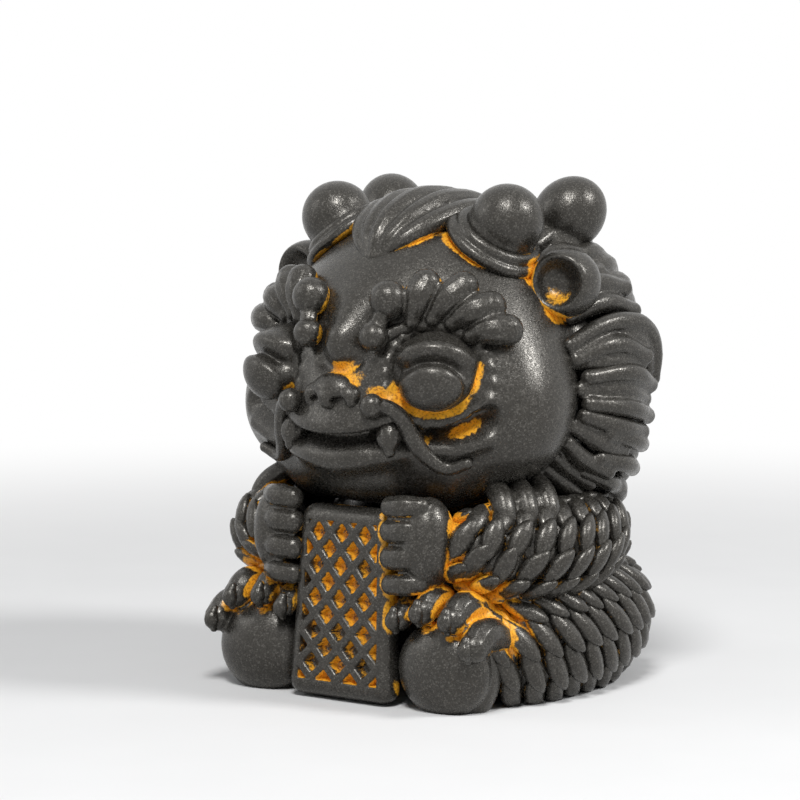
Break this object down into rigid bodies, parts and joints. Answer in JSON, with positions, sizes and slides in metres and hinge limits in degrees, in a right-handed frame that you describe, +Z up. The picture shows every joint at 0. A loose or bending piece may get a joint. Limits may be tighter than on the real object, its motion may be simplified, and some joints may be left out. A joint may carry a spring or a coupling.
{
  "type": "seated qilin figurine",
  "caption": "Seated qilin figurine of dark clay with bulging eyes, ridged mane, horns and scaly limbs, holding an upright tablet before its belly.",
  "frame": {"origin": "middle of the flat base, at the centre of the figure's footprint", "axes": "+Z up, the figure faces -Y, its left side is +X"},
  "size_m": [0.0646, 0.0632, 0.0761],
  "materials": {
    "iron_sand_clay": "satin unglazed dark clay with ochre wash in the recesses"
  },
  "bodies": {
    "root": {"head": "iron_sand_clay", "lower_jaw": "iron_sand_clay", "tablet": "iron_sand_clay", "torso": "iron_sand_clay", "nose": "iron_sand_clay", "eye_left": "iron_sand_clay", "eye_right": "iron_sand_clay", "brow_left": "iron_sand_clay", "brow_right": "iron_sand_clay", "whisker_left": "iron_sand_clay", "whisker_right": "iron_sand_clay", "fang_left": "iron_sand_clay", "fang_right": "iron_sand_clay", "horn_bud_left": "iron_sand_clay", "horn_bud_right": "iron_sand_clay", "horn_collar_left": "iron_sand_clay", "horn_collar_right": "iron_sand_clay", "horn_egg_left": "iron_sand_clay", "horn_egg_right": "iron_sand_clay", "ear_left": "iron_sand_clay", "ear_right": "iron_sand_clay", "forelock": "iron_sand_clay", "mane_lock_left_1": "iron_sand_clay", "mane_lock_left_2": "iron_sand_clay", "mane_lock_left_3": "iron_sand_clay", "mane_lock_left_4": "iron_sand_clay", "mane_lock_left_5": "iron_sand_clay", "mane_lock_left_6": "iron_sand_clay", "mane_lock_right_1": "iron_sand_clay", "mane_lock_right_2": "iron_sand_clay", "mane_lock_right_3": "iron_sand_clay", "mane_lock_right_4": "iron_sand_clay", "mane_lock_right_5": "iron_sand_clay", "mane_lock_right_6": "iron_sand_clay", "mane_lock_back_1": "iron_sand_clay", "mane_lock_back_2": "iron_sand_clay", "mane_lock_back_3": "iron_sand_clay", "mane_lock_back_4": "iron_sand_clay", "mane_lock_back_5": "iron_sand_clay", "foot_left": "iron_sand_clay", "foot_right": "iron_sand_clay", "forepaw_left": "iron_sand_clay", "forepaw_right": "iron_sand_clay", "thigh_left": "iron_sand_clay", "thigh_right": "iron_sand_clay", "arm_left": "iron_sand_clay", "arm_right": "iron_sand_clay", "tail": "iron_sand_clay"}
  },
  "joints": []
}
